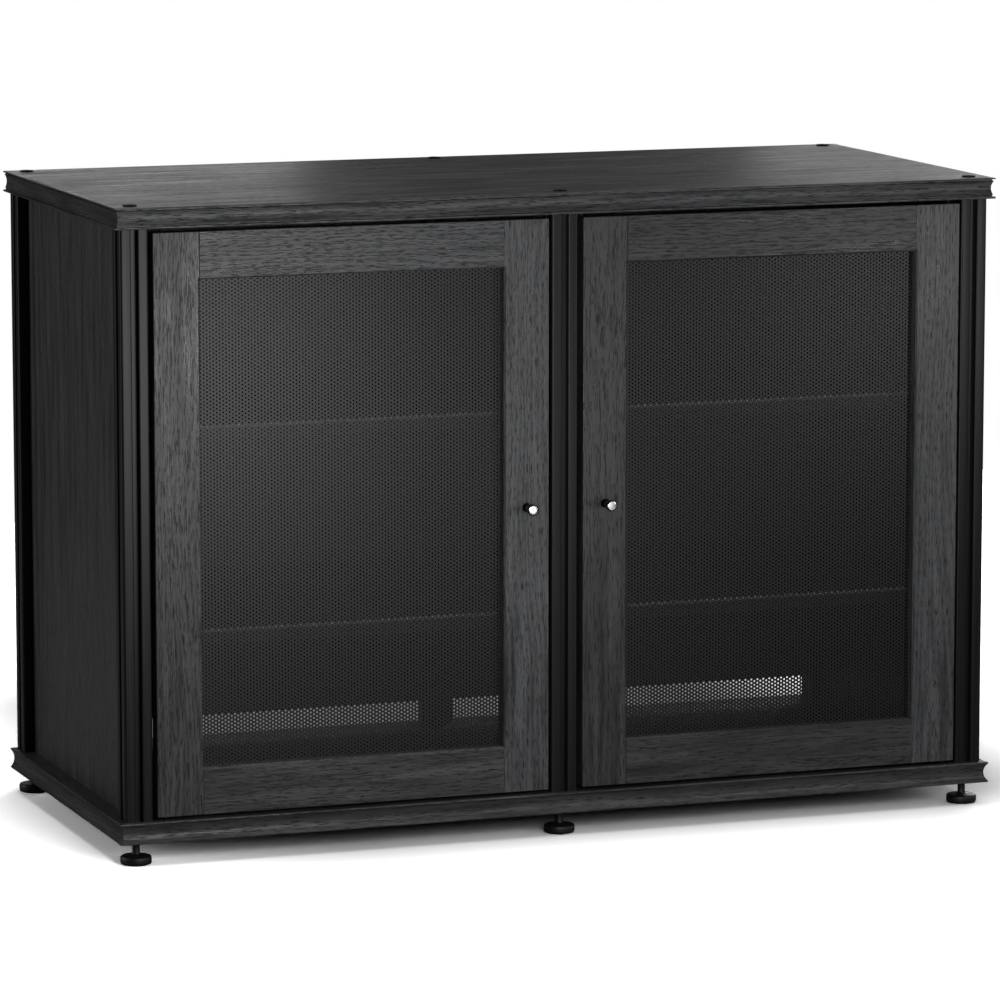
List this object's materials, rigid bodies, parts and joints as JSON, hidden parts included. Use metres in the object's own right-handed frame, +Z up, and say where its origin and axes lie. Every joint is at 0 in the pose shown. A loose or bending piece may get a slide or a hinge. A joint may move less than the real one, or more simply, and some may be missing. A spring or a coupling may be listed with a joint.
{
  "type": "media cabinet",
  "caption": "Low black media cabinet with mesh doors that swing open on pivot pins, shelves in both bays, slotted aluminium posts, coved boards and levelling feet.",
  "frame": {"origin": "on the floor, under the middle of the bounding box", "axes": "+X to the right as seen from the front, +Y to the back, +Z up; the doors face -Y"},
  "size_m": [1.1334, 0.5286, 0.7928],
  "materials": {
    "black_oak": "black-stained open-grain veneer, satin lacquer",
    "black_anodised": "extruded, black anodised, satin",
    "mesh_steel": "perforated sheet, black powder coat",
    "bolt_steel": "black oxide, on the bolts and the door pins",
    "zinc_steel": "bright zinc plate",
    "black_plastic": "moulded nylon",
    "knob_nickel": "black nickel body with a polished bright face"
  },
  "bodies": {
    "case": {"top_board": "black_oak", "top_front_moulding": "black_oak", "top_left_moulding": "black_oak", "top_right_moulding": "black_oak", "bottom_board": "black_oak", "bottom_front_moulding": "black_oak", "bottom_left_moulding": "black_oak", "bottom_right_moulding": "black_oak", "post_front_left": "black_anodised", "post_front_centre": "black_anodised", "post_front_right": "black_anodised", "post_rear_left": "black_anodised", "post_rear_centre": "black_anodised", "post_rear_right": "black_anodised", "post_bolt_front_left": "bolt_steel", "post_bolt_front_centre": "bolt_steel", "post_bolt_front_right": "bolt_steel", "post_bolt_rear_left": "bolt_steel", "post_bolt_rear_centre": "bolt_steel", "post_bolt_rear_right": "bolt_steel", "left_side_panel": "black_oak", "right_side_panel": "black_oak", "left_back_panel": "black_oak", "right_back_panel": "black_oak", "left_lower_shelf": "black_oak", "left_upper_shelf": "black_oak", "right_lower_shelf": "black_oak", "right_upper_shelf": "black_oak", "left_lower_shelf_rail": "black_oak", "left_upper_shelf_rail": "black_oak", "centre_lower_shelf_rail": "black_oak", "centre_upper_shelf_rail": "black_oak", "right_lower_shelf_rail": "black_oak", "right_upper_shelf_rail": "black_oak", "left_magnet_catch": "black_plastic", "right_magnet_catch": "black_plastic"},
    "left_door": {"left_door_hinge_stile": "black_oak", "left_door_latch_stile": "black_oak", "left_door_top_rail": "black_oak", "left_door_bottom_rail": "black_oak", "left_door_mesh_panel": "mesh_steel", "left_door_knob": "knob_nickel", "left_door_top_pin": "bolt_steel", "left_door_bottom_pin": "bolt_steel", "left_door_strike_plate": "zinc_steel"},
    "right_door": {"right_door_hinge_stile": "black_oak", "right_door_latch_stile": "black_oak", "right_door_top_rail": "black_oak", "right_door_bottom_rail": "black_oak", "right_door_mesh_panel": "mesh_steel", "right_door_knob": "knob_nickel", "right_door_top_pin": "bolt_steel", "right_door_bottom_pin": "bolt_steel", "right_door_strike_plate": "zinc_steel"},
    "foot_front_left": {"foot_front_left": "black_plastic"},
    "foot_front_centre": {"foot_front_centre": "black_plastic"},
    "foot_front_right": {"foot_front_right": "black_plastic"},
    "foot_rear_left": {"foot_rear_left": "black_plastic"},
    "foot_rear_centre": {"foot_rear_centre": "black_plastic"},
    "foot_rear_right": {"foot_rear_right": "black_plastic"}
  },
  "joints": [
    {"name": "left_door_swing", "type": "hinge", "parent": "case", "child": "left_door", "pos_m": [-0.5077, -0.23075, 0.4096], "axis": [0, 0, -1], "range_deg": [0, 110]},
    {"name": "right_door_swing", "type": "hinge", "parent": "case", "child": "right_door", "pos_m": [0.5077, -0.23075, 0.4096], "axis": [0, 0, 1], "range_deg": [0, 110]},
    {"name": "foot_front_left_turn", "type": "hinge", "parent": "case", "child": "foot_front_left", "pos_m": [-0.5412, -0.21825, 0.014], "axis": [0, 0, 1], "continuous": true},
    {"name": "foot_front_centre_turn", "type": "hinge", "parent": "case", "child": "foot_front_centre", "pos_m": [0, -0.21825, 0.014], "axis": [0, 0, 1], "continuous": true},
    {"name": "foot_front_right_turn", "type": "hinge", "parent": "case", "child": "foot_front_right", "pos_m": [0.5412, -0.21825, 0.014], "axis": [0, 0, 1], "continuous": true},
    {"name": "foot_rear_left_turn", "type": "hinge", "parent": "case", "child": "foot_rear_left", "pos_m": [-0.5412, 0.24475, 0.014], "axis": [0, 0, 1], "continuous": true},
    {"name": "foot_rear_centre_turn", "type": "hinge", "parent": "case", "child": "foot_rear_centre", "pos_m": [0, 0.24475, 0.014], "axis": [0, 0, 1], "continuous": true},
    {"name": "foot_rear_right_turn", "type": "hinge", "parent": "case", "child": "foot_rear_right", "pos_m": [0.5412, 0.24475, 0.014], "axis": [0, 0, 1], "continuous": true}
  ]
}
